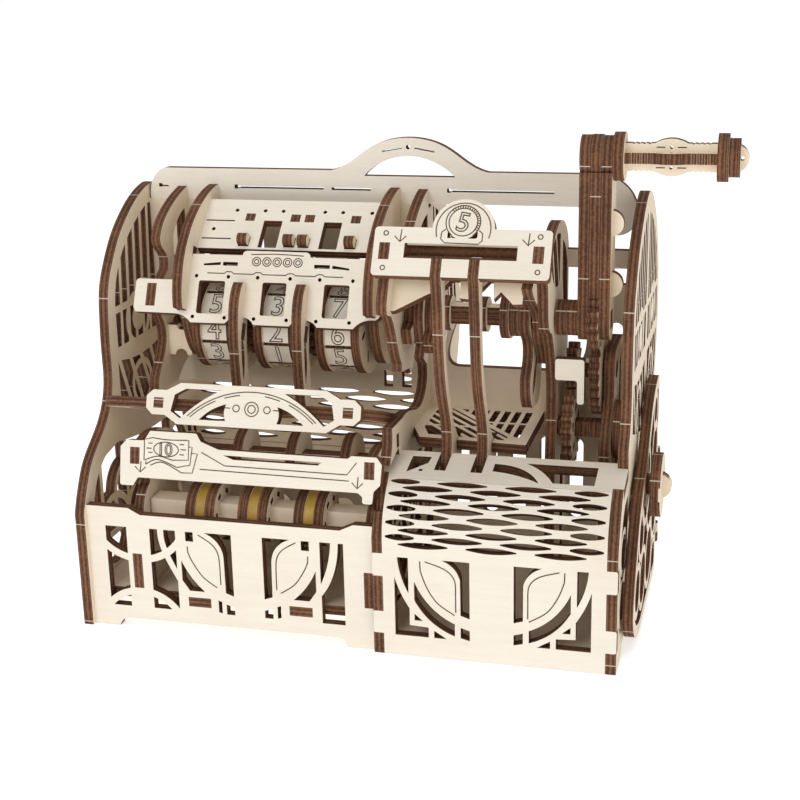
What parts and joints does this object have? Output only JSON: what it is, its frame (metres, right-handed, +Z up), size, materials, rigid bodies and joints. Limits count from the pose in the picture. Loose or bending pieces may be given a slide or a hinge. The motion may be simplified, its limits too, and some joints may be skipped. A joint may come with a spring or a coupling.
{
  "type": "toy cash register",
  "caption": "Laser-cut plywood toy cash register with a coin slot, banknote slot, digit wheels, side crank and gears, carry handle and a hinged coin door.",
  "frame": {"origin": "middle of the footprint, on the table", "axes": "+X to the right along the front, towards the crank; +Y from the front to the back; +Z up"},
  "size_m": [0.251, 0.1414, 0.1921],
  "materials": {
    "ply_face": "bare birch plywood, laser-cut, edges burnt dark brown",
    "ply_front": "pale birch plywood show face with engraved lines",
    "rubber_band": "mustard yellow rubber bands on narrow plywood cores"
  },
  "bodies": {
    "body": {"brace_bar": "ply_face", "carry_handle_plate": "ply_front", "coin_box_front": "ply_front", "coin_floor": "ply_face", "coin_hopper": "ply_face", "coin_rails": "ply_face", "coin_slot_plate": "ply_front", "coin_tray": "ply_face", "corner_bracket": "ply_front", "counter_axle": "ply_face", "counter_face_plate": "ply_front", "door_hinge": "ply_face", "gear_frame_inner": "ply_face", "gear_frame_outer": "ply_face", "inner_frame": "ply_face", "left_back_wall": "ply_face", "left_counter_rib": "ply_face", "left_digit_guard": "ply_face", "left_roller_frame": "ply_face", "left_side_panel": "ply_face", "middle_panel": "ply_face", "nameplate": "ply_front", "nameplate_shelf": "ply_face", "note_box_front": "ply_front", "note_chute": "ply_face", "note_floor": "ply_face", "note_slot_plate": "ply_front", "rear_cover": "ply_face", "right_back_wall": "ply_face", "right_counter_rib": "ply_face", "right_digit_guard": "ply_face", "right_roller_frame": "ply_face", "right_side_panel": "ply_face", "roof_pawls": "ply_face", "roof_plate": "ply_front"},
    "crank": {"crank_arm_plies": "ply_face", "crank_arm_sector": "ply_face", "crank_grip": "ply_face", "crank_pins": "ply_face", "crank_shaft": "ply_face", "crank_spacers": "ply_face", "coin_cam": "ply_face"},
    "idler": {"idler_gears": "ply_face", "idler_shaft": "ply_face"},
    "drive": {"drive_gear": "ply_face", "drive_shaft": "ply_face"},
    "feed_rollers": {"feed_shaft": "ply_face", "feed_roller_discs": "ply_face", "feed_roller_bands": "rubber_band"},
    "press_rollers": {"press_shaft": "ply_face", "press_wheels": "ply_face"},
    "hundreds_wheel": {"hundreds_drum": "ply_face", "hundreds_discs": "ply_face"},
    "tens_wheel": {"tens_drum": "ply_face", "tens_discs": "ply_face"},
    "units_wheel": {"units_drum": "ply_face", "units_discs": "ply_face"},
    "coin_feeler": {"swing_lever": "ply_face"},
    "side_door": {"side_door": "ply_face"},
    "door_knob": {"door_knob": "ply_face"}
  },
  "joints": [
    {"name": "crank_pull", "type": "hinge", "parent": "body", "child": "crank", "pos_m": [0.0735, -0.01975, 0.122], "axis": [1, 0, 0], "range_deg": [0, 60], "stiffness_Nm_per_rad": 0.03, "springref_deg": -17.19},
    {"name": "idler_spin", "type": "hinge", "parent": "body", "child": "idler", "pos_m": [0.0655, -0.00625, 0.09862], "axis": [1, 0, 0], "range_deg": [-39, 1]},
    {"name": "drive_spin", "type": "hinge", "parent": "body", "child": "drive", "pos_m": [0.0655, -0.01188, 0.07606], "axis": [1, 0, 0], "range_deg": [-1, 25]},
    {"name": "feed_spin", "type": "hinge", "parent": "body", "child": "feed_rollers", "pos_m": [-0.0541, -0.05325, 0.0465], "axis": [1, 0, 0], "continuous": true},
    {"name": "press_spin", "type": "hinge", "parent": "body", "child": "press_rollers", "pos_m": [-0.0541, -0.03875, 0.065], "axis": [1, 0, 0], "continuous": true},
    {"name": "units_spin", "type": "hinge", "parent": "body", "child": "units_wheel", "pos_m": [-0.0288, -0.00925, 0.1114], "axis": [1, 0, 0], "continuous": true},
    {"name": "tens_spin", "type": "hinge", "parent": "body", "child": "tens_wheel", "pos_m": [-0.0545, -0.00925, 0.1114], "axis": [1, 0, 0], "continuous": true},
    {"name": "hundreds_spin", "type": "hinge", "parent": "body", "child": "hundreds_wheel", "pos_m": [-0.0805, -0.00925, 0.1114], "axis": [1, 0, 0], "continuous": true},
    {"name": "feeler_swing", "type": "hinge", "parent": "body", "child": "coin_feeler", "pos_m": [0.0457, -0.01975, 0.122], "axis": [1, 0, 0], "range_deg": [0, 12]},
    {"name": "door_hinge", "type": "hinge", "parent": "body", "child": "side_door", "pos_m": [0.0905, 0.03325, 0.035], "axis": [0, 0, 1], "range_deg": [0, 95]},
    {"name": "knob_turn", "type": "hinge", "parent": "side_door", "child": "door_knob", "pos_m": [0.0935, -0.01975, 0.057], "axis": [1, 0, 0], "range_deg": [0, 90]}
  ],
  "couplings": [
    {"joint": "idler_spin", "follows": "crank_pull", "ratio": -0.63636},
    {"joint": "drive_spin", "follows": "crank_pull", "ratio": 0.40191},
    {"joint": "press_spin", "follows": "feed_spin", "ratio": -0.95652},
    {"joint": "tens_spin", "follows": "units_spin", "ratio": 0.1},
    {"joint": "hundreds_spin", "follows": "units_spin", "ratio": 0.01}
  ]
}
